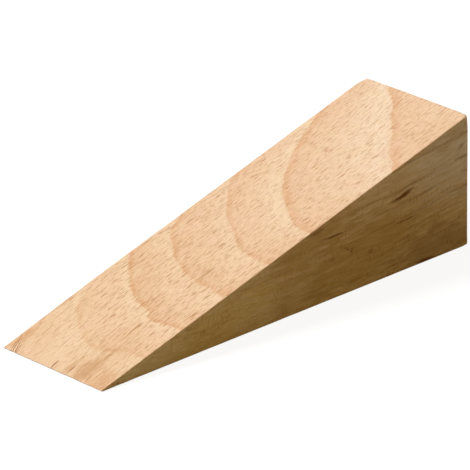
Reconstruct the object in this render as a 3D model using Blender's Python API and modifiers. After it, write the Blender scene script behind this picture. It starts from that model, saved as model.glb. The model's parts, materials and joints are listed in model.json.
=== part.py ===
"""Wooden door wedge: one solid block of beech with a flat base, a sloped top and a square thick end.

Metres, +Z up. The origin is the middle of the base, at floor level. +X runs from the thin edge to the
thick end, and Y runs across the wedge.
"""

import bmesh
import bpy

# Driving dimensions, to the corners as they would be with no rounding
LENGTH = 0.142  # thin edge to thick end, along the floor
WIDTH = 0.040  # across the wedge
HEIGHT = 0.039  # floor to the top of the thick end
TIP_THICKNESS = 0.0005  # blunt land that the saw leaves on the thin edge
BUTT_ROUND = 0.0008  # sanded rounding of the four edges of the thick end
ARRIS_ROUND = 0.0002  # light easing of the long edges of the base and the slope

# Roundings are drawn with this many flats.
ROUND_SEGMENTS = 4

# The easing of a long edge takes at most this share of the thin edge's thickness, from above and below.
MOST_OF_TIP = 0.4

# Bare sanded beech: linear colour, roughness and metallic value
BEECH_COLOUR = (0.847, 0.578, 0.361, 1.0)
BEECH_ROUGHNESS = 0.62
BEECH_METALLIC = 0.0

COLLECTION = "door_wedge"


def clear_scene():
    for obj in list(bpy.data.objects):
        bpy.data.objects.remove(obj, do_unlink=True)


def new_collection(name):
    collection = bpy.data.collections.new(name)
    bpy.context.scene.collection.children.link(collection)
    return collection


def beech():
    material = bpy.data.materials.new("beech")
    material.use_nodes = True
    shader = material.node_tree.nodes["Principled BSDF"]
    shader.inputs["Base Color"].default_value = BEECH_COLOUR
    shader.inputs["Roughness"].default_value = BEECH_ROUGHNESS
    shader.inputs["Metallic"].default_value = BEECH_METALLIC
    return material


def tapered_block(bm):
    """A box on the floor whose top comes down to the thin edge at -X."""
    cube = bmesh.ops.create_cube(bm, size=1.0)
    for vert in cube["verts"]:
        at_butt = vert.co.x > 0
        on_top = vert.co.z > 0
        height = HEIGHT if at_butt else TIP_THICKNESS
        vert.co.x *= LENGTH
        vert.co.y *= WIDTH
        vert.co.z = height if on_top else 0.0


def mark_roundings(bm, widest):
    """Writes each edge's rounding as a share of the widest one. The thin edge itself stays square."""
    easing = min(ARRIS_ROUND, MOST_OF_TIP * TIP_THICKNESS)
    weight = bm.edges.layers.float.new("bevel_weight_edge")
    for edge in bm.edges:
        ends_at_butt = sum(vert.co.x > 0 for vert in edge.verts)
        rounding = (0.0, easing, BUTT_ROUND)[ends_at_butt]
        edge[weight] = rounding / widest


def wedge_block(collection):
    """The whole wedge, sawn from one length of solid wood."""
    widest = max(BUTT_ROUND, ARRIS_ROUND)
    bm = bmesh.new()
    tapered_block(bm)
    mark_roundings(bm, widest)
    mesh = bpy.data.meshes.new("wedge_block")
    bm.to_mesh(mesh)
    bm.free()
    block = bpy.data.objects.new("wedge_block", mesh)
    collection.objects.link(block)
    block.data.materials.append(beech())
    bevel = block.modifiers.new("Roundings", "BEVEL")
    bevel.limit_method = "WEIGHT"
    bevel.offset_type = "OFFSET"
    bevel.width = widest
    bevel.segments = ROUND_SEGMENTS
    return block


def main():
    clear_scene()
    wedge_block(new_collection(COLLECTION))


main()
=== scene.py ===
import json
import math
from collections import namedtuple

import bmesh
import bpy
import numpy as np
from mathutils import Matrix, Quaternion, Vector, noise


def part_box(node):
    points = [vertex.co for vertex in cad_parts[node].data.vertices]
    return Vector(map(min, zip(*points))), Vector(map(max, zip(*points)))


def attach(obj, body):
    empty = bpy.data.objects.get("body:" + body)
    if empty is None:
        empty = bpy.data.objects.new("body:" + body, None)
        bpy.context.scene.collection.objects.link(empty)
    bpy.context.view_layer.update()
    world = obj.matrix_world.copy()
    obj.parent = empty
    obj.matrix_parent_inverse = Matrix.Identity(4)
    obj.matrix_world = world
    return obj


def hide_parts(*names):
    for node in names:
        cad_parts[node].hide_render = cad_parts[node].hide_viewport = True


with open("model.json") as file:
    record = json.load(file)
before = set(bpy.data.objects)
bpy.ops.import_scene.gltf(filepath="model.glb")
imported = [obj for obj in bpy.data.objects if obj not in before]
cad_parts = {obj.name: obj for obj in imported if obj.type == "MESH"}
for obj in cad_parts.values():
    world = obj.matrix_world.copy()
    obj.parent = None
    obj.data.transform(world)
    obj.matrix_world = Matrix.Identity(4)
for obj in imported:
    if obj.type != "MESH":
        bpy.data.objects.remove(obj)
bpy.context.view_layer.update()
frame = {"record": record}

MM = 0.001

# Sizes of the block, from the frame
LOW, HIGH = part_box("wedge_block")
LENGTH = HIGH.x - LOW.x
WIDTH = HIGH.y - LOW.y
SLOPE = next(mount for mount in frame["record"]["mounts"] if mount["name"] == "slope")
SLOPE_NORMAL = Vector(SLOPE["axis"]).normalized()
RISE = -SLOPE_NORMAL.x / SLOPE_NORMAL.z

# Surface grid: lines lie this far apart, and closer towards the edges, where the roundings are
GRID_STEP = 0.9 * MM
FINEST_STEP = 0.07 * MM
SHARP_ANGLE = math.radians(40)  # edges that turn by more than this are shaded as sharp
TINY = 1e-9  # stands in for a length of zero in a division

# Roundings of the edges
ARRIS_ROUND = 0.22 * MM
BUTT_ROUND = 0.75 * MM
BUTT_REACH = 3.0 * MM  # the long edges grow rounder over this distance from the thick end
UPPER_CORNER_ROUND = 0.6 * MM  # added at the thick end's two upper corners, which are the most worn
LOWER_CORNER_ROUND = -0.15 * MM  # added at the two lower ones
CORNER_REACH = 2.2 * MM
MOST_OF_THICKNESS = 0.48  # a rounding takes at most this share of the block's thickness

# Unevenness of the surfaces
EDGE_WEAR = 0.15 * MM
EDGE_WEAR_LENGTH = 5.0 * MM
WAVE_HEIGHT = 0.05 * MM
WAVE_LENGTH = 14.0 * MM
WAVE_CLEARANCE = 2.0 * MM  # the hollows fade in over this height above the floor, so the base stays flat
WAVE_THICKNESS = (0.5 * MM, 3.0 * MM)  # and between these thicknesses of the block
NOISE_STEPS = (7.31, 3.17, 5.71)  # each seed's noise is this far from the one before

# The thin edge: its back corner is worn back, and short splits run in from it along the grain
THIN_EDGE_SKEW = 1.6 * MM
SKEW_REACH = 40.0 * MM
THIN_EDGE_RAGGED = 0.12 * MM
THIN_EDGE_RAGGED_LENGTH = 1.6 * MM
SPLIT_FLOOR = 0.12 * MM  # wood left under a split
SPLIT_OVERSHOOT = 0.6 * MM  # how far outside the thin edge the cut of a split starts
Split = namedtuple("Split", "from_front length mouth turn_degrees stain")
SPLITS = (
    Split(37.1 * MM, 2.0 * MM, 0.16 * MM, 22, 4.6 * MM),
    Split(36.4 * MM, 3.2 * MM, 0.30 * MM, 25, 8.6 * MM),
    Split(35.4 * MM, 2.6 * MM, 0.26 * MM, 28, 7.0 * MM),
    Split(34.9 * MM, 1.4 * MM, 0.14 * MM, 24, 6.2 * MM),
    Split(20.8 * MM, 2.4 * MM, 0.34 * MM, 8, 3.4 * MM),
    Split(14.7 * MM, 1.8 * MM, 0.22 * MM, 5, 4.5 * MM),
)

# The tree, in millimetres: where the centre of its rings ran, seen from the block
PITH_HEIGHT = 144.66
PITH_FROM_FRONT = 11.58
PITH_DRIFT = -0.1453  # sideways drift of the rings' centre for each millimetre along the block
GRAIN_RISE = 0.0202
GRAIN_BEND = 0.00068
GRAIN_BEND_FROM = 72.0
GRAIN_TURN = 0.05  # fibres and rays turn towards the back by this much for each millimetre along
# Local swellings of the rings, in millimetres
Swelling = namedtuple("Swelling", "from_thin_edge from_front reach height")
SWELLINGS = (
    Swelling(146.0, 34.0, 18.0, 2.4),
    Swelling(125.0, 12.0, 13.0, -0.44),
    Swelling(34.0, 40.0, 13.0, -1.2),
    Swelling(15.0, 20.0, 15.0, 0.5),
    Swelling(15.0, 6.0, 10.0, -0.6),
    Swelling(82.0, 4.0, 14.0, 0.35),
    Swelling(48.0, 4.0, 11.0, -0.45),
    Swelling(61.0, 38.0, 12.0, 0.6),
    Swelling(128.0, 16.0, 10.0, -0.17),
    Swelling(116.0, 4.0, 9.0, -0.14),
    Swelling(86.0, 36.0, 9.0, 0.45),
    Swelling(71.0, 21.0, 9.0, -0.3),
    Swelling(55.0, 27.0, 8.0, 0.3),
    Swelling(48.5, 11.0, 8.0, -0.25),
    Swelling(31.0, 4.0, 8.0, -0.2),
    Swelling(113.0, 35.0, 9.0, -0.15),
    Swelling(113.0, -1.0, 6.0, 0.4),
)
# A small fault in the grain: in front of this line, near the thin end, the rings lie higher
FAULT_FROM_FRONT = 13.6
FAULT_WIDTH = 0.7
FAULT_ALONG = 37.0
FAULT_REACH = 18.0
FAULT_LIFT = 0.75
# Levels at which the growth rings start, counted upwards from the base towards the pith
RING_STARTS = (-14.0, -10.2, -6.5, -1.5, 3.84, 8.25, 12.2, 16.42, 20.8, 27.72, 34.3)
# Changes with that level: where each starts and ends, and its values there if they aren't 0 and 1
LOW_RING_STRENGTH = (2.0, 9.0, 0.45, 1.1)
HIGH_RING_STRENGTH = (14.0, 21.0, 1.0, 0.87)
SIDE_RING_STRENGTH = (8.0, 27.0, 0.25, 1.0)
OLD_WOOD = (26.0, 3.0)
PALEST_RING = ((21.0, 26.5), (29.5, 27.7))
FAINT_RINGS = ((8.6, 10.6), (19.0, 16.6))
FAINT_RING_LOSS = 0.28  # share of a faint ring's contrast that is missing
FAINT_RING_TONE = 0.13  # added to its darkness all through
# Rings that draw a dark line along the sides: level, half width and strength
SideLine = namedtuple("SideLine", "level width strength")
SIDE_LINES = (
    SideLine(27.72, 0.7, 0.7),
    SideLine(20.8, 0.8, 1.0),
    SideLine(16.42, 0.7, 0.8),
    SideLine(12.2, 0.6, 0.7),
    SideLine(8.25, 0.5, 0.4),
)
# Through one ring, from its start to the next: share of the ring, and how dark the wood is
RING_TONES = (
    (0.0, 1.0),
    (0.05, 0.95),
    (0.12, 0.56),
    (0.35, 0.46),
    (0.65, 0.30),
    (0.88, 0.09),
    (0.96, 0.05),
    (1.0, 0.42),
)

# Noise in the wood. The sizes are those of its bumps, in millimetres.
NOISE_SPAN = (0.25, 0.75)  # nearly all the noise lies between these values
Ripple = namedtuple("Ripple", "sizes detail strength")  # a change of both signs
SLOW_WOBBLE = Ripple((22.0, 9.0, 9.0), 2.0, 0.4)  # of the rings, as the next three are
QUICK_WOBBLE = Ripple((3.0, 1.0, 2.0), 3.0, 0.3)
FIBROUS_WOBBLE = Ripple((2.2, 0.5, 0.5), 1.0, 0.35)
SIDE_WOBBLE = Ripple((17.0, 20.0, 9.0), 2.0, 2.2)
STREAKS = Ripple((45.0, 3.0, 0.9), 3.0, 0.035)
FIBRES = Ripple((10.0, 0.34, 0.34), 2.0, 0.065)
PORES = Ripple((0.8, 0.4, 0.4), 1.0, 0.032)
SIDE_FIGURE = (
    Ripple((8.0, 6.0, 0.85), 3.0, 0.56),  # lines
    Ripple((8.0, 6.0, 2.4), 3.0, 0.42),  # clouds
    Ripple((2.2, 0.6, 0.34), 2.0, 0.44),  # specks
)
MARK_FRAY = Ripple((7.0, 0.8, 0.8), 3.0, 0.35)
EDGE_FRAY = Ripple((4.0, 1.5, 1.5), 3.0, 0.35)
EDGE_FRAY_SPAN = (0.3, 0.7)
SAW_ARCS = Ripple((0.8, 1.0, 1.0), 1.0, 0.04)
# What shows only where a noise is high: from its start to where it is full
Peaks = namedtuple("Peaks", "sizes detail start full low high", defaults=(0.0, 1.0))
LONG_FLECKS = Peaks((3.9, 0.35, 40.0), 1.0, 0.57, 0.72)
SHORT_FLECKS = Peaks((1.9, 0.29, 40.0), 1.0, 0.57, 0.72, high=0.8)
SHORT_FLECK_SHIFT = (200.0, 200.0, 0.0)  # takes them from another place in the noise than the long ones
PINK_PATCHES = Peaks((16.0, 5.0, 4.0), 2.0, 0.42, 0.70, high=0.5)
YELLOW_PATCHES = Peaks((5.0, 2.6, 2.6), 2.0, 0.46, 0.70, high=0.45)
VESSELS = Peaks((2.4, 0.2, 0.2), 1.0, 0.54, 0.68, high=0.6)
FLAKES = Peaks((0.7, 3.0, 2.2), 1.0, 0.52, 0.64)
FLAKE_PATCHES = Peaks((9.0, 3.0, 4.0), 2.0, 0.46, 0.60, low=0.1)
LINE_BREAKS = Peaks((14.0, 8.0, 3.0), 2.0, 0.35, 0.60, low=0.35)
END_PORES = Peaks((1.5, 0.22, 0.22), 1.0, 0.56, 0.72)
END_RAYS = Peaks((3.0, 0.30, 16.0), 1.0, 0.54, 0.68, high=0.40)
# Changes along the block, in millimetres from the thin edge, written as those with the rings' level are
FLECK_STRENGTH = (0.0, 34.0, 0.55, 1.0)
SIDE_LINE_STRENGTH = (88.0, 118.0, 0.35, 1.0)
# the painted edge shade and the wear fade in over this stretch from the thin edge
EDGE_SHADE_AND_WEAR_STRENGTH = (3.0, 12.0)


def linear(red, green, blue):
    """A screen colour from 0 to 255, as the linear values that shaders take."""
    def channel(value):
        share = value / 255
        return share / 12.92 if share <= 0.04045 else ((share + 0.055) / 1.055) ** 2.4
    return (channel(red), channel(green), channel(blue), 1.0)


PALE_WOOD = linear(250, 221, 186)
PALEST_WOOD = linear(252, 226, 194)  # in the ring that the slope cuts last but one
LATE_WOOD = linear(233, 184, 142)
PINK_WOOD = linear(244, 204, 171)
YELLOW_WOOD = linear(244, 212, 168)
OLD_WOOD_TINT = (0.972, 0.935, 0.88, 1.0)  # of the wood far from the pith, against that near it
FLECK_WOOD = linear(177, 105, 28)
MARK_WOOD = linear(139, 88, 34)
SPLIT_WOOD = linear(150, 88, 44)
SMEAR_WOOD = linear(200, 148, 98)
ORANGE_WOOD = linear(222, 168, 120)
# Painted light and shade for the front side: browner and darker where it lies in shade, paler where more
# light reaches it
PAINTED_SHADE_BROWN = linear(215, 174, 112)
PAINTED_SHADE_DARK = linear(196, 158, 118)
PAINTED_LIGHT_PALE = linear(246, 222, 206)
PAINTED_LIGHT_THIN_END = linear(252, 223, 184)
PAINTED_LIGHT_YELLOW = linear(246, 210, 148)
END_TINT = (0.80, 0.71, 0.62, 1.0)  # of wood cut across the fibres
RAY_WOOD = linear(232, 190, 150)
# Painted shade: darkens a thin band along every edge of the block
EDGE_SHADE_AND_WEAR_TINT = (0.95, 0.92, 0.88, 1.0)
SIDE_LINE_TINT = (0.63, 0.52, 0.36, 1.0)
FLAKE_TINT = (0.86, 0.79, 0.70, 1.0)
WHITE = (1.0, 1.0, 1.0, 1.0)
# How strongly red, green and blue follow a change of brightness: darker wood is also more orange
WARMTH = (0.70, 1.02, 1.65)
FLECK_SHARE = 0.60  # of a fleck's own colour in the darkest flecks
END_PORE_SHADE = -0.25
# The painted shade along the edges starts and is full at the same distances as the wear
EDGE_SHADE_AND_WEAR_WIDTH = (0.7, 0.05)  # distances from an edge, in millimetres, at which wear starts and is full
# How far a face has to look sideways, or towards the thick end, to start to count as a side or the end,
# and to count in full
SIDE_FACING = (0.4, 0.85)
END_FACING = (0.35, 0.85)

# Relief and gloss
FLECK_RELIEF = -0.8  # against that of the fibres
END_PORE_RELIEF = -1.0
SAW_RELIEF = 1.5
RELIEF_HEIGHT = 0.05 * MM
RELIEF_STRENGTH = 0.5
ROUGHNESS = (0.62, 0.76)
ROUGHNESS_SPAN = (0.2, 0.8)  # values of the fibres' noise at which the roughness is lowest and highest
WORN_ROUGHNESS = -0.08  # added on worn edges
SPECULAR = 0.08

# Marks in the wood, in millimetres from the thin edge, the front and the base. The tilt raises a mark's
# far end, and the turn swings it towards the back.
Mark = namedtuple("Mark", "centre half_sizes tilt turn strength tint")
MARK_BORDER = (1.0, 0.25)  # shares of its half sizes at which a mark starts and is full
MARKS = (
    # On the front side: a spindle with a tail, thin lines, small spots, and a dark patch on the base edge
    Mark((116.4, 0.0, 22.75), (5.6, 1.6, 1.0), 12.5, 0, 1.0, MARK_WOOD),
    Mark((112.6, 0.0, 21.9), (3.0, 1.2, 0.5), 10, 0, 0.5, MARK_WOOD),
    Mark((87.7, 0.0, 18.65), (6.4, 1.2, 0.50), 1, 0, 1.0, MARK_WOOD),
    Mark((94.2, 0.0, 13.0), (1.8, 1.0, 0.5), -35, 0, 0.45, MARK_WOOD),
    Mark((95.7, 0.0, 12.2), (0.8, 1.0, 1.4), -25, 0, 0.55, MARK_WOOD),
    Mark((103.2, 0.0, 9.6), (1.2, 1.0, 1.0), 0, 0, 0.40, MARK_WOOD),
    Mark((116.8, 0.0, 15.0), (5.0, 1.0, 0.42), 2, 0, 0.55, MARK_WOOD),
    Mark((138.9, 0.0, 30.4), (2.0, 1.0, 0.8), 25, 0, 0.45, MARK_WOOD),
    Mark((139.0, 0.0, 27.2), (3.0, 1.0, 0.45), 3, 0, 0.34, MARK_WOOD),
    Mark((124.4, 0.0, 0.5), (4.4, 1.5, 1.0), 2, 0, 1.0, MARK_WOOD),
    Mark((82.0, 0.0, 21.6), (4.0, 0.8, 0.8), 10, 0, 0.45, SPLIT_WOOD),
    # On the slope: brown smears along the fault, orange wood by the thin end's corners and along the front
    Mark((5.0, 10.6, 1.9), (10.5, 4.2, 6.0), 15, 0, 0.62, SMEAR_WOOD),
    Mark((13.0, 10.2, 4.0), (7.2, 1.2, 5.0), 15, 0, 0.35, SMEAR_WOOD),
    Mark((4.0, 15.9, 1.6), (6.0, 1.5, 4.0), 15, 0, 0.42, SMEAR_WOOD),
    Mark((25.0, 12.5, 7.3), (4.4, 0.5, 3.0), 15, 0, 0.80, SMEAR_WOOD),
    Mark((52.0, 13.0, 14.6), (6.8, 0.8, 4.0), 15, 0, 0.50, SMEAR_WOOD),
    Mark((3.0, 3.0, 1.3), (7.8, 6.5, 5.0), 15, 0, 0.58, ORANGE_WOOD),
    Mark((11.0, 10.0, 3.5), (18.8, 13.0, 14.0), 15, 0, 0.22, ORANGE_WOOD),
    Mark((8.0, 38.8, 2.6), (9.0, 3.0, 6.0), 15, 0, 0.55, ORANGE_WOOD),
    Mark((22.0, 40.0, 6.4), (14.4, 1.6, 8.0), 15, 0, 0.40, ORANGE_WOOD),
    Mark((12.0, 35.0, 3.8), (18.0, 9.0, 6.0), 15, 0, 0.14, ORANGE_WOOD),
    Mark((78.0, 1.0, 21.6), (32.0, 9.0, 6.0), 15, 0, 0.15, ORANGE_WOOD),
    Mark((132.0, 1.0, 36.3), (18.0, 9.0, 6.0), 15, 0, 0.15, ORANGE_WOOD),
)
# The stains of the splits
STAIN_HALF_LENGTH = 0.6  # share of the stain's length in the list of splits
STAIN_HALF_WIDTH = 0.9  # share of the split's mouth
STAIN_HALF_HEIGHT = 3.0
STAIN_ABOVE_BASE = 0.8
STAIN_STRENGTH = 0.75
SAW_CENTRE = (-120.0, 60.0)  # of the saw's arcs on the thick end, from the front and the base
# Painted light and shade on the front side alone: browner through the middle and darkest at the lower
# right, paler at the upper right, and paler and yellower towards the thin end
PAINTED_SIDE_SHADING = (
    Mark((104.0, 0.0, 11.0), (52.0, 42.0, 15.0), 8, 0, 0.90, PAINTED_SHADE_BROWN),
    Mark((80.0, 0.0, 18.5), (26.0, 42.0, 7.0), 14, 0, 0.75, PAINTED_SHADE_BROWN),
    Mark((131.0, 0.0, 3.5), (28.0, 42.0, 9.5), 3, 0, 0.80, PAINTED_SHADE_DARK),
    Mark((44.0, 0.0, 6.0), (34.0, 42.0, 9.0), 10, 0, 0.85, PAINTED_LIGHT_YELLOW),
    Mark((142.0, 0.0, 30.0), (32.0, 42.0, 19.0), 10, 0, 0.95, PAINTED_LIGHT_PALE),
    Mark((0.0, 0.0, 0.0), (34.0, 42.0, 10.0), 8, 0, 0.90, PAINTED_LIGHT_THIN_END),
)


def slope_height(x):
    """Height of the sloped top above the floor, at a distance along the block's own axis."""
    return SLOPE["pos_m"][2] + (x - SLOPE["pos_m"][0]) * RISE


def smooth_share(value, start, end):
    share = np.clip((value - start) / (end - start), 0, 1)
    return share * share * (3 - 2 * share)


def wander(points, length, seed):
    """Smooth noise from about -1 to 1 at each point, whose bumps are about this length."""
    offset = Vector([seed * step for step in NOISE_STEPS])
    return np.array([noise.noise(Vector(point) / length + offset) for point in points])


def graded(length):
    """Places from 0 to length, close together near both ends and a grid step apart between them."""
    growing = []
    place, step = 0.0, FINEST_STEP
    while step < GRID_STEP:
        growing.append(place)
        place += step
        step += FINEST_STEP
    count = max(1, round((length - 2 * place) / GRID_STEP))
    even = np.linspace(place, length - place, count + 1)
    return np.concatenate([growing, even, length - np.array(growing[::-1])])


def box_grid(counts):
    """Grid places on the six sides of a box of cells, and the quads between them, facing out."""
    index = {}
    quads = []

    def number(place):
        return index.setdefault(tuple(place), len(index))

    for axis in range(3):
        across, up = (axis + 1) % 3, (axis + 2) % 3
        for end in (0, counts[axis]):
            for i in range(counts[across]):
                for j in range(counts[up]):
                    corners = []
                    for di, dj in ((0, 0), (1, 0), (1, 1), (0, 1)):
                        place = [0, 0, 0]
                        place[axis], place[across], place[up] = end, i + di, j + dj
                        corners.append(number(place))
                    quads.append(corners if end else corners[::-1])
    return np.array(list(index)), quads


def thin_edge(y):
    """How far the thin edge lies from the end of the block's full length, at distances across it."""
    across = (y - LOW.y) / WIDTH
    line = np.stack([y, 0 * y, 0 * y], axis=1)
    ragged = wander(line, THIN_EDGE_RAGGED_LENGTH, seed=1) + 1
    return THIN_EDGE_SKEW * across + THIN_EDGE_RAGGED * ragged


def top_height(x, y):
    """Height of the slope, which dips a little by the worn corner so that the thin edge stays thin."""
    return slope_height(x) - RISE * thin_edge(y) * (1 - smooth_share(x - LOW.x, 0, SKEW_REACH))


def rounding_radius(points):
    """Radius that the edges have near each point: uneven, and larger at the thick end and its corners."""
    x, y = points.T[:2]
    worn = ARRIS_ROUND + EDGE_WEAR * np.clip(wander(points, EDGE_WEAR_LENGTH, seed=2), 0, 1)
    radius = worn + (BUTT_ROUND - worn) * smooth_share(x, HIGH.x - BUTT_REACH, HIGH.x)
    for height, more in ((slope_height(HIGH.x), UPPER_CORNER_ROUND), (0.0, LOWER_CORNER_ROUND)):
        for side in (LOW.y, HIGH.y):
            distance = np.linalg.norm(points - np.array([HIGH.x, side, height]), axis=1)
            radius += more * np.exp(-((distance / CORNER_REACH) ** 2))
    return np.minimum(radius, MOST_OF_THICKNESS * top_height(x, y))


def rounded(points):
    """Moves points near the edges of the block onto roundings of the radius that each place has."""
    x, y, z = points.T
    radius = rounding_radius(points)
    faces = (
        ((0, 1, 0), y - LOW.y),
        ((0, -1, 0), HIGH.y - y),
        ((0, 0, 1), z),
        ((-1, 0, 0), HIGH.x - x),
        ((1, 0, 0), x - LOW.x - thin_edge(y)),
        (tuple(-SLOPE_NORMAL), (top_height(x, y) - z) * SLOPE_NORMAL.z),
    )
    inward = np.zeros_like(points)
    for normal, depth in faces:
        inward += np.outer(np.clip(radius - depth, 0, None), normal)
    reach = np.linalg.norm(inward, axis=1)
    scale = 1 - radius / np.maximum(reach, TINY)
    return points + inward * np.where(reach > 0, scale, 0)[:, None]


def block_points(places, stations):
    """Grid places as points on the sharp-edged block."""
    along, across, up = (stations[axis][places[:, axis]] for axis in range(3))
    y = LOW.y + across
    x = LOW.x + along + thin_edge(y) * (1 - smooth_share(along, 0, SKEW_REACH))
    return np.stack([x, y, up * top_height(x, y)], axis=1)


def split_cutter(name, split):
    """A thin upright blade that runs in from the thin edge and tapers to nothing."""
    y = LOW.y + split.from_front
    edge = LOW.x + float(thin_edge(np.array([y]))[0])
    turn = math.radians(split.turn_degrees)
    direction = Vector((math.cos(turn), math.sin(turn), 0))
    side = Vector((-direction.y, direction.x, 0)) * split.mouth / 2
    start = Vector((edge, y, SPLIT_FLOOR)) - direction * SPLIT_OVERSHOOT
    tip = start + direction * (split.length + SPLIT_OVERSHOOT)
    bm = bmesh.new()
    base = bm.faces.new([bm.verts.new(point) for point in (start - side, tip, start + side)])
    raised = bmesh.ops.extrude_face_region(bm, geom=[base])["geom"]
    well_above_top = Vector((0, 0, 2 * slope_height(tip.x)))
    corners = [part for part in raised if isinstance(part, bmesh.types.BMVert)]
    bmesh.ops.translate(bm, vec=well_above_top, verts=corners)
    bmesh.ops.recalc_face_normals(bm, faces=bm.faces)
    mesh = bpy.data.meshes.new(name)
    bm.to_mesh(mesh)
    bm.free()
    cutter = bpy.data.objects.new(name, mesh)
    bpy.context.scene.collection.objects.link(cutter)
    return cutter


def cut_splits(block):
    """Cuts the splits into the thin edge and leaves the result as the block's own mesh."""
    cutters = [split_cutter(f"split_{number}", split) for number, split in enumerate(SPLITS)]
    for cutter in cutters:
        cut = block.modifiers.new(cutter.name, "BOOLEAN")
        cut.operation = "DIFFERENCE"
        cut.solver = "EXACT"
        cut.object = cutter
    graph = bpy.context.evaluated_depsgraph_get()
    mesh = bpy.data.meshes.new_from_object(block.evaluated_get(graph))
    block.modifiers.clear()
    block.data = mesh
    for cutter in cutters:
        bpy.data.objects.remove(cutter)


def wedge_mesh():
    """The block's surface with its roundings and hollows, before the splits are cut."""
    butt_height = slope_height(HIGH.x)
    stations = (graded(LENGTH), graded(WIDTH), graded(butt_height) / butt_height)
    counts = [len(station) - 1 for station in stations]
    places, quads = box_grid(counts)
    points = rounded(block_points(places, stations))
    mesh = bpy.data.meshes.new("beech_wedge")
    mesh.from_pydata(points.tolist(), [], quads)
    normals = np.array([vertex.normal for vertex in mesh.vertices])
    above_floor = smooth_share(points[:, 2], 0, WAVE_CLEARANCE)
    thick_enough = smooth_share(slope_height(points[:, 0]), *WAVE_THICKNESS)
    hollows = np.minimum(wander(points, WAVE_LENGTH, seed=3), 0)
    points = points + normals * (WAVE_HEIGHT * hollows * above_floor * thick_enough)[:, None]
    mesh.vertices.foreach_set("co", points.ravel())
    mesh.update()
    return mesh


class Graph:
    """Adds nodes to a node tree. Most calls return the last new node's main output."""

    def __init__(self, tree):
        self.tree = tree
        tree.nodes.clear()

    def node(self, kind, **settings):
        node = self.tree.nodes.new(kind)
        for name, value in settings.items():
            setattr(node, name, value)
        return node

    def feed(self, socket, value):
        if isinstance(value, bpy.types.NodeSocket):
            self.tree.links.new(value, socket)
        else:
            socket.default_value = value

    def filled(self, node, *values):
        for socket, value in zip(node.inputs, values):
            self.feed(socket, value)
        return node.outputs[0]

    def math(self, operation, *values):
        return self.filled(self.node("ShaderNodeMath", operation=operation), *values)

    def vector(self, operation, *values):
        return self.filled(self.node("ShaderNodeVectorMath", operation=operation), *values)

    def length(self, vector):
        node = self.node("ShaderNodeVectorMath", operation="LENGTH")
        self.feed(node.inputs[0], vector)
        return node.outputs["Value"]

    def parts(self, vector):
        node = self.node("ShaderNodeSeparateXYZ")
        self.feed(node.inputs[0], vector)
        return node.outputs

    def fade(self, value, start, end, low=0.0, high=1.0):
        """Goes smoothly from low to high as the value goes from start to end."""
        node = self.node("ShaderNodeMapRange", interpolation_type="SMOOTHSTEP")
        return self.filled(node, value, start, end, low, high)

    def span(self, value, start, end, low, high):
        """Goes evenly from low to high as the value goes from start to end, and stays in that range."""
        return self.filled(self.node("ShaderNodeMapRange"), value, start, end, low, high)

    def band(self, value, rising, falling):
        """1 between two borders and 0 outside them."""
        return self.math("MULTIPLY", self.fade(value, *rising), self.fade(value, *falling))

    def noise(self, place, sizes, detail):
        """Noise from 0 to 1 whose bumps have these sizes along the three directions of the place."""
        node = self.node("ShaderNodeTexNoise")
        scaled = self.vector("MULTIPLY", place, tuple(1 / size for size in sizes))
        self.feed(node.inputs["Vector"], scaled)
        node.inputs["Scale"].default_value = 1.0
        node.inputs["Detail"].default_value = detail
        return node.outputs[0]

    def add_ripple(self, value, place, ripple):
        """Adds noise of both signs to a value."""
        centred = self.math("SUBTRACT", self.noise(place, ripple.sizes, ripple.detail), 0.5)
        return self.math("MULTIPLY_ADD", centred, ripple.strength, value)

    def swing(self, noise_value, strength, noise_span=NOISE_SPAN):
        """Turns noise from 0 to 1 into a change from -strength to strength."""
        return self.span(noise_value, *noise_span, -strength, strength)

    def peaks(self, place, peaks):
        """Shows the peaks of a noise alone."""
        height = self.noise(place, peaks.sizes, peaks.detail)
        return self.fade(height, peaks.start, peaks.full, peaks.low, peaks.high)

    def mix(self, share, first, second, blend="MIX"):
        """Mixes two colours. Inputs 6 and 7 and output 2 are the mix node's colour sockets."""
        node = self.node("ShaderNodeMix", data_type="RGBA", blend_type=blend)
        self.feed(node.inputs[0], share)
        self.feed(node.inputs[6], first)
        self.feed(node.inputs[7], second)
        return node.outputs[2]

    def shade(self, colour, change):
        """Brightens or darkens wood by a share, which is below 0 for darker wood."""
        factors = self.vector("MULTIPLY_ADD", change, WARMTH, (1.0, 1.0, 1.0))
        return self.vector("MULTIPLY", colour, factors)


def in_block(g):
    """The place in the block, in millimetres from the thin edge, from the front side and from the base."""
    place = g.node("ShaderNodeTexCoord").outputs["Object"]
    return g.vector("MULTIPLY_ADD", place, (1 / MM,) * 3, tuple(-LOW / MM))


def in_tree(g, place):
    """The place in the tree: along the fibres, around the rings and out from the pith, in millimetres."""
    x, y, z = g.parts(place)
    pith = g.math("MULTIPLY_ADD", x, PITH_DRIFT, PITH_FROM_FRONT)
    sideways = g.math("SUBTRACT", y, pith)
    bend = g.math("POWER", g.math("MAXIMUM", g.math("SUBTRACT", x, GRAIN_BEND_FROM), 0.0), 2.0)
    lift = g.math("MULTIPLY_ADD", bend, GRAIN_BEND, g.math("MULTIPLY", x, GRAIN_RISE))
    below = g.math("ADD", g.math("SUBTRACT", PITH_HEIGHT, z), lift)
    squares = g.math("ADD", g.math("POWER", sideways, 2.0), g.math("POWER", below, 2.0))
    radius = g.math("SQRT", squares)
    angle = g.math("MULTIPLY", g.math("ARCTAN2", sideways, below), PITH_HEIGHT)
    around = g.math("MULTIPLY_ADD", x, PITH_DRIFT - GRAIN_TURN, angle)
    return g.filled(g.node("ShaderNodeCombineXYZ"), x, around, radius)


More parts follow.
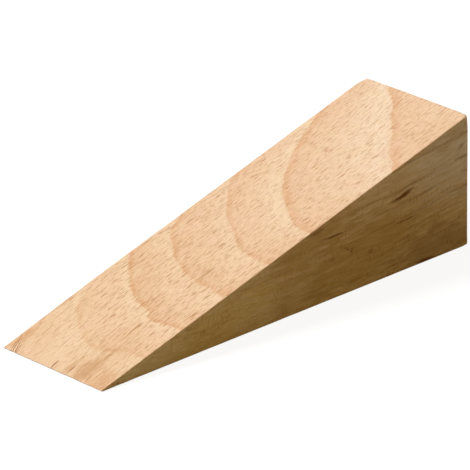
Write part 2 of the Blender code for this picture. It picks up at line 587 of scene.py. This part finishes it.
def ring_level(g, place, tree):
    """Height within the pile of growth rings, in millimetres, with swellings, a fault and a wobble."""
    x, y = g.parts(place)[:2]
    level = g.math("SUBTRACT", PITH_HEIGHT, g.parts(tree)[2])
    flat = g.vector("MULTIPLY", place, (1.0, 1.0, 0.0))
    for swelling in SWELLINGS:
        centre = (swelling.from_thin_edge, swelling.from_front, 0.0)
        distance = g.length(g.vector("SUBTRACT", flat, centre))
        level = g.math("ADD", level, g.fade(distance, 0.0, swelling.reach, swelling.height, 0.0))
    before = g.fade(y, FAULT_FROM_FRONT + FAULT_WIDTH, FAULT_FROM_FRONT - FAULT_WIDTH, 0.0, FAULT_LIFT)
    near = g.fade(g.math("ABSOLUTE", g.math("SUBTRACT", x, FAULT_ALONG)), FAULT_REACH, 0.0)
    level = g.math("MULTIPLY_ADD", before, near, level)
    level = g.add_ripple(level, place, SLOW_WOBBLE)
    level = g.add_ripple(level, place, QUICK_WOBBLE)
    return g.add_ripple(level, tree, FIBROUS_WOBBLE)


def ring_tone(g, level):
    """How dark the wood is: highest at the line where a ring starts, falling off to the next ring."""
    rings = 0.0
    for start, end in zip(RING_STARTS, RING_STARTS[1:]):
        rings = g.math("ADD", rings, g.span(level, start, end, 0.0, 1.0))
    node = g.node("ShaderNodeValToRGB")
    g.feed(node.inputs[0], g.math("FRACT", rings))
    stops = node.color_ramp.elements
    for number, (share, tone) in enumerate(RING_TONES):
        stop = stops[number] if number < len(stops) else stops.new(share)
        stop.position = share
        stop.color = (tone, tone, tone, 1.0)
    return node.outputs[0]


Wood = namedtuple("Wood", "place tree grain level on_top on_side on_end")


def wood_at(g):
    """Where a point lies in the block, the tree and the rings, and which way its face looks."""
    place = in_block(g)
    tree = in_tree(g, place)
    normal = g.parts(g.node("ShaderNodeTexCoord").outputs["Normal"])
    on_side = g.fade(g.math("ABSOLUTE", normal[1]), *SIDE_FACING)
    on_end = g.fade(normal[0], *END_FACING)
    on_top = g.math("SUBTRACT", 1.0, g.math("MAXIMUM", on_side, on_end))
    level = ring_level(g, place, tree)
    level = g.math("MULTIPLY_ADD", g.add_ripple(0.0, place, SIDE_WOBBLE), on_side, level)
    x, around = g.parts(tree)[:2]
    grain = g.filled(g.node("ShaderNodeCombineXYZ"), x, around, level)
    return Wood(place, tree, grain, level, on_top, on_side, on_end)


def ring_colour(g, wood):
    """Pale and darker wood by the growth rings, which show less on the sides and far from the pith."""
    faint = g.band(wood.level, *FAINT_RINGS)
    strength = g.fade(wood.level, *LOW_RING_STRENGTH)
    strength = g.math("MULTIPLY", strength, g.fade(wood.level, *HIGH_RING_STRENGTH))
    strength = g.math("MULTIPLY", strength, g.math("MULTIPLY_ADD", faint, -FAINT_RING_LOSS, 1.0))
    side_strength = g.fade(wood.level, *SIDE_RING_STRENGTH)
    strength = g.math("MULTIPLY", strength, g.mix(wood.on_side, WHITE, side_strength))
    tone = g.math("MULTIPLY", ring_tone(g, wood.level), strength)
    tone = g.math("MULTIPLY_ADD", faint, FAINT_RING_TONE, tone)
    pale = g.mix(g.band(wood.level, *PALEST_RING), PALE_WOOD, PALEST_WOOD)
    colour = g.mix(tone, pale, LATE_WOOD)
    colour = g.mix(g.fade(wood.level, *OLD_WOOD), colour, OLD_WOOD_TINT, "MULTIPLY")
    colour = g.mix(g.peaks(wood.tree, PINK_PATCHES), colour, PINK_WOOD)
    return g.mix(g.peaks(wood.tree, YELLOW_PATCHES), colour, YELLOW_WOOD)


def slope_flecks(g, wood):
    """Dark slivers where the slope and the base cut wood rays, from 0 to 1, fainter near the thin end."""
    x, around, radius = g.parts(wood.tree)
    arc = g.math("MULTIPLY", around, g.math("DIVIDE", radius, PITH_HEIGHT))
    along_rings = g.filled(g.node("ShaderNodeCombineXYZ"), x, arc, radius)
    elsewhere = g.vector("ADD", along_rings, SHORT_FLECK_SHIFT)
    flecks = g.math("MAXIMUM", g.peaks(along_rings, LONG_FLECKS), g.peaks(elsewhere, SHORT_FLECKS))
    flecks = g.math("MULTIPLY", flecks, g.fade(x, *FLECK_STRENGTH))
    return g.math("MULTIPLY", flecks, wood.on_top)


def side_figure(g, wood):
    """Change of brightness on the sides, where the fibres show as long lines, with clouds and specks."""
    figure = 0.0
    for ripple in SIDE_FIGURE:
        figure = g.add_ripple(figure, wood.grain, ripple)
    return g.math("MULTIPLY", figure, wood.on_side)


def side_flakes(g, wood):
    """Thin vessels along the sides, and the short upright flakes where they cut the rays, from 0 to 1."""
    flakes = g.math("MULTIPLY", g.peaks(wood.place, FLAKES), g.peaks(wood.grain, FLAKE_PATCHES))
    flakes = g.math("MAXIMUM", flakes, g.peaks(wood.tree, VESSELS))
    return g.math("MULTIPLY", flakes, wood.on_side)


def side_lines(g, wood):
    """The thin, broken dark lines that some rings draw along the sides, from 0 to 1."""
    x = g.parts(wood.place)[0]
    strength = g.math("MULTIPLY", g.peaks(wood.grain, LINE_BREAKS), g.fade(x, *SIDE_LINE_STRENGTH))
    lines = 0.0
    for line in SIDE_LINES:
        away = g.math("ABSOLUTE", g.math("SUBTRACT", wood.level, line.level))
        lines = g.math("MAXIMUM", lines, g.fade(away, line.width, 0.0, 0.0, line.strength))
    return g.math("MULTIPLY", g.math("MULTIPLY", lines, strength), wood.on_side)


def mark_shape(g, place, mark, fray):
    """1 in the middle of a mark and 0 outside it, frayed along the grain."""
    node = g.node("ShaderNodeMapping", vector_type="TEXTURE")
    g.feed(node.inputs["Vector"], place)
    node.inputs["Location"].default_value = mark.centre
    node.inputs["Rotation"].default_value = (0.0, -math.radians(mark.tilt), math.radians(mark.turn))
    node.inputs["Scale"].default_value = mark.half_sizes
    frayed = g.math("ADD", g.length(node.outputs[0]), fray)
    return g.math("MULTIPLY", g.fade(frayed, *MARK_BORDER), mark.strength)


def split_stains():
    """Brown wood along each split in the thin edge, which runs on past its end."""
    stains = []
    for split in SPLITS:
        turn = math.radians(split.turn_degrees)
        edge = float(thin_edge(np.array([LOW.y + split.from_front]))[0])
        x = edge + math.cos(turn) * split.stain / 2
        y = split.from_front + math.sin(turn) * split.stain / 2
        centre = (x / MM, y / MM, STAIN_ABOVE_BASE)
        half_length = STAIN_HALF_LENGTH * split.stain / MM
        half_width = STAIN_HALF_WIDTH * split.mouth / MM
        half_sizes = (half_length, half_width, STAIN_HALF_HEIGHT)
        stains.append(Mark(centre, half_sizes, 0, split.turn_degrees, STAIN_STRENGTH, SPLIT_WOOD))
    return stains


def marked(g, wood, colour):
    """Adds the painted light and shade of the front side, the marks and the stained splits to the wood's
    colour.
    """
    fray = g.swing(g.noise(wood.tree, MARK_FRAY.sizes, MARK_FRAY.detail), MARK_FRAY.strength)
    # Painted light and shade, on the front side only
    for mark in PAINTED_SIDE_SHADING:
        share = g.math("MULTIPLY", mark_shape(g, wood.place, mark, fray), wood.on_side)
        colour = g.mix(share, colour, mark.tint)
    for mark in (*MARKS, *split_stains()):
        colour = g.mix(mark_shape(g, wood.place, mark, fray), colour, mark.tint)
    return colour


def edge_distance(g, place):
    """Distance from a point of the surface to the block's nearest edge, in millimetres."""
    x, y, z = g.parts(place)
    slope = g.math("MULTIPLY_ADD", x, RISE, slope_height(LOW.x) / MM)
    depths = (
        y,
        g.math("SUBTRACT", WIDTH / MM, y),
        z,
        g.math("SUBTRACT", LENGTH / MM, x),
        g.math("MULTIPLY", g.math("SUBTRACT", slope, z), SLOPE_NORMAL.z),
    )
    nearest, second = depths[0], LENGTH / MM
    for depth in depths[1:]:
        second = g.math("MINIMUM", second, g.math("MAXIMUM", nearest, depth))
        nearest = g.math("MINIMUM", nearest, depth)
    return second


def edge_shade_and_wear(g, wood):
    """1 along the edges of the block, which are painted darker as shade and are also smoothed by wear, with
    a broken inner border.
    """
    fray = g.noise(wood.place, EDGE_FRAY.sizes, EDGE_FRAY.detail)
    fray = g.swing(fray, EDGE_FRAY.strength, EDGE_FRAY_SPAN)
    worn = g.fade(g.math("ADD", edge_distance(g, wood.place), fray), *EDGE_SHADE_AND_WEAR_WIDTH)
    return g.math("MULTIPLY", worn, g.fade(g.parts(wood.place)[0], *EDGE_SHADE_AND_WEAR_STRENGTH))


def saw_marks(g, wood):
    """Shallow arcs that a saw leaves across the end, from 0 to 1."""
    centre = (0.0, *SAW_CENTRE)
    flat = g.vector("MULTIPLY", wood.place, (0.0, 1.0, 1.0))
    radius = g.length(g.vector("SUBTRACT", flat, centre))
    across_arcs = g.filled(g.node("ShaderNodeCombineXYZ"), radius, 0.0, 0.0)
    return g.noise(across_arcs, SAW_ARCS.sizes, SAW_ARCS.detail)


def end_pores(g, wood):
    """1 on the fine pores of the thick end."""
    return g.math("MULTIPLY", g.peaks(wood.tree, END_PORES), wood.on_end)


def end_grain(g, wood, colour, pores, saw):
    """Wood cut across its fibres: darker, with pale rays that run out from the pith and fine pores."""
    cut = g.mix(1.0, colour, END_TINT, "MULTIPLY")
    cut = g.mix(g.peaks(wood.tree, END_RAYS), cut, RAY_WOOD)
    cut = g.shade(cut, g.math("MULTIPLY", pores, END_PORE_SHADE))
    cut = g.shade(cut, g.swing(saw, SAW_ARCS.strength))
    return g.mix(wood.on_end, colour, cut)


def beech():
    """Bare sanded beech, solid through the block: rings, rays and end grain agree on every side."""
    material = bpy.data.materials.new("bare_beech")
    material.use_nodes = True
    g = Graph(material.node_tree)
    wood = wood_at(g)
    streaks = g.noise(wood.grain, STREAKS.sizes, STREAKS.detail)
    fibres = g.noise(wood.tree, FIBRES.sizes, FIBRES.detail)
    pores = g.noise(wood.tree, PORES.sizes, PORES.detail)
    flecks = slope_flecks(g, wood)
    worn = edge_shade_and_wear(g, wood)
    holes = end_pores(g, wood)
    saw = saw_marks(g, wood)

    colour = marked(g, wood, ring_colour(g, wood))
    colour = g.shade(colour, g.swing(streaks, STREAKS.strength))
    colour = g.shade(colour, g.swing(fibres, FIBRES.strength))
    colour = g.shade(colour, g.swing(pores, PORES.strength))
    colour = g.shade(colour, side_figure(g, wood))
    colour = g.mix(side_flakes(g, wood), colour, FLAKE_TINT, "MULTIPLY")
    colour = g.mix(side_lines(g, wood), colour, SIDE_LINE_TINT, "MULTIPLY")
    colour = g.mix(g.math("MULTIPLY", flecks, FLECK_SHARE), colour, FLECK_WOOD)
    colour = end_grain(g, wood, colour, holes, saw)
    # Painted shade: a thin darker band along the edges, whose wear shows only in the roughness below
    colour = g.mix(worn, colour, EDGE_SHADE_AND_WEAR_TINT, "MULTIPLY")

    relief = g.math("MULTIPLY_ADD", flecks, FLECK_RELIEF, fibres)
    relief = g.math("MULTIPLY_ADD", holes, END_PORE_RELIEF, relief)
    relief = g.math("MULTIPLY_ADD", g.math("MULTIPLY", saw, wood.on_end), SAW_RELIEF, relief)
    bump = g.node("ShaderNodeBump")
    bump.inputs["Strength"].default_value = RELIEF_STRENGTH
    bump.inputs["Distance"].default_value = RELIEF_HEIGHT
    g.feed(bump.inputs["Height"], relief)
    roughness = g.span(fibres, *ROUGHNESS_SPAN, *ROUGHNESS)
    shader = g.node("ShaderNodeBsdfPrincipled")
    shader.inputs["Specular IOR Level"].default_value = SPECULAR
    g.feed(shader.inputs["Base Color"], colour)
    g.feed(shader.inputs["Roughness"], g.math("MULTIPLY_ADD", worn, WORN_ROUGHNESS, roughness))
    g.feed(shader.inputs["Normal"], bump.outputs[0])
    output = g.node("ShaderNodeOutputMaterial")
    g.feed(output.inputs[0], shader.outputs[0])
    return material


def make_wedge():
    block = bpy.data.objects.new("beech_wedge", wedge_mesh())
    bpy.context.scene.collection.objects.link(block)
    cut_splits(block)
    block.data.materials.clear()
    block.data.materials.append(beech())
    block.data.shade_smooth()
    block.data.set_sharp_from_angle(angle=SHARP_ANGLE)
    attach(block, "root")
    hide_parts("wedge_block")


# Camera: the photograph's view, from a long way off
CAMERA_AZIMUTH = math.radians(-44.717)
CAMERA_ELEVATION = math.radians(22.974)
CAMERA_ROLL = math.radians(0.34)
CAMERA_DISTANCE = 2.524
FRAME_WIDTH = 0.12882  # what the picture spans at the middle of the block
MIDDLE_RIGHT = 0.403 * MM  # how far the block's middle lies right of the picture's centre, and above it
MIDDLE_ABOVE = 1.019 * MM
SENSOR_MM = 36.0
NEAREST_SEEN = 0.1
FURTHEST_SEEN = 50.0


def make_camera():
    data = bpy.data.cameras.new("camera")
    data.sensor_width = SENSOR_MM
    data.lens = SENSOR_MM * CAMERA_DISTANCE / FRAME_WIDTH
    data.clip_start = NEAREST_SEEN
    data.clip_end = FURTHEST_SEEN
    camera = bpy.data.objects.new("camera", data)
    bpy.context.scene.collection.objects.link(camera)
    flat = math.cos(CAMERA_ELEVATION)
    back = Vector((
        math.sin(CAMERA_AZIMUTH) * flat,
        -math.cos(CAMERA_AZIMUTH) * flat,
        math.sin(CAMERA_ELEVATION),
    ))
    right = Vector((math.cos(CAMERA_AZIMUTH), math.sin(CAMERA_AZIMUTH), 0.0))
    up = back.cross(right)
    middle = Vector((0.0, 0.0, slope_height(HIGH.x) / 2))
    aim = middle - right * MIDDLE_RIGHT - up * MIDDLE_ABOVE
    camera.location = aim + back * CAMERA_DISTANCE
    camera.rotation_mode = "QUATERNION"
    rolled = Quaternion(back, -CAMERA_ROLL)
    camera.rotation_quaternion = rolled @ back.to_track_quat("Z", "Y")
    bpy.context.scene.camera = camera


# Light: a broad key from above, behind and left, a dim fill on the thick end, and warm light from all round
KEY_FROM = Vector((-0.45, 0.50, 0.74))
KEY_STRENGTH = 3.43
KEY_COLOUR = (0.774, 0.845, 1.0)
KEY_SPREAD = math.radians(22)
FILL_FROM = Vector((0.865, 0.50, 0.05))
FILL_STRENGTH = 0.8
FILL_COLOUR = (1.0, 0.97, 0.92)
FILL_SPREAD = math.radians(40)
ROUND_LIGHT = (0.29, 0.222, 0.076, 1.0)
FLOOR_BOUNCE = (0.25, 0.235, 0.195, 1.0)
FLOOR_SHADE = 0.15  # share of the floor's white that a shadow can take away
FLOOR_GLOW = 1.04 - 0.9 * FLOOR_SHADE  # with the light that falls on it, the open floor is just white
FLOOR_SIZE = 12.0
FLOOR_DROP = 0.05 * MM  # keeps the floor and the base apart


def make_lamp(name, origin, strength, colour, spread):
    data = bpy.data.lights.new(name, "SUN")
    data.energy = strength
    data.color = colour
    data.angle = spread
    lamp = bpy.data.objects.new(name, data)
    bpy.context.scene.collection.objects.link(lamp)
    lamp.rotation_mode = "QUATERNION"
    lamp.rotation_quaternion = origin.to_track_quat("Z", "Y")


def seen_directly(g):
    """1 for rays that show the background itself: from the camera, and in mirrors and glass."""
    rays = g.node("ShaderNodeLightPath")
    seen = g.math("MAXIMUM", rays.outputs["Is Camera Ray"], rays.outputs["Is Glossy Ray"])
    return g.math("MAXIMUM", seen, rays.outputs["Is Transmission Ray"])


def make_world():
    world = bpy.data.worlds.new("world")
    world.use_nodes = True
    g = Graph(world.node_tree)
    background = g.node("ShaderNodeBackground")
    g.feed(background.inputs[0], g.mix(seen_directly(g), ROUND_LIGHT, WHITE))
    output = g.node("ShaderNodeOutputWorld")
    g.feed(output.inputs[0], background.outputs[0])
    bpy.context.scene.world = world


def floor_material():
    material = bpy.data.materials.new("pale_floor")
    material.use_nodes = True
    g = Graph(material.node_tree)
    bounce = g.node("ShaderNodeBsdfDiffuse")
    bounce.inputs["Color"].default_value = FLOOR_BOUNCE
    shaded = g.node("ShaderNodeBsdfDiffuse")
    shaded.inputs["Color"].default_value = (FLOOR_SHADE, FLOOR_SHADE, FLOOR_SHADE, 1.0)
    glow = g.node("ShaderNodeEmission")
    glow.inputs["Strength"].default_value = FLOOR_GLOW
    white = g.node("ShaderNodeAddShader")
    g.filled(white, shaded.outputs[0], glow.outputs[0])
    shown = g.node("ShaderNodeMixShader")
    g.filled(shown, seen_directly(g), bounce.outputs[0], white.outputs[0])
    from_below = g.node("ShaderNodeNewGeometry").outputs["Backfacing"]
    clear = g.node("ShaderNodeBsdfTransparent")
    floor = g.node("ShaderNodeMixShader")
    g.filled(floor, from_below, shown.outputs[0], clear.outputs[0])
    output = g.node("ShaderNodeOutputMaterial")
    g.feed(output.inputs[0], floor.outputs[0])
    return material


def make_floor():
    bm = bmesh.new()
    bmesh.ops.create_grid(bm, x_segments=1, y_segments=1, size=FLOOR_SIZE / 2)
    mesh = bpy.data.meshes.new("floor")
    bm.to_mesh(mesh)
    bm.free()
    floor = bpy.data.objects.new("floor", mesh)
    floor.location.z = -FLOOR_DROP
    floor.data.materials.append(floor_material())
    bpy.context.scene.collection.objects.link(floor)


make_wedge()
make_camera()
make_lamp("key", KEY_FROM, KEY_STRENGTH, KEY_COLOUR, KEY_SPREAD)
make_lamp("fill", FILL_FROM, FILL_STRENGTH, FILL_COLOUR, FILL_SPREAD)
make_world()
make_floor()
bpy.context.scene.view_settings.view_transform = "Standard"
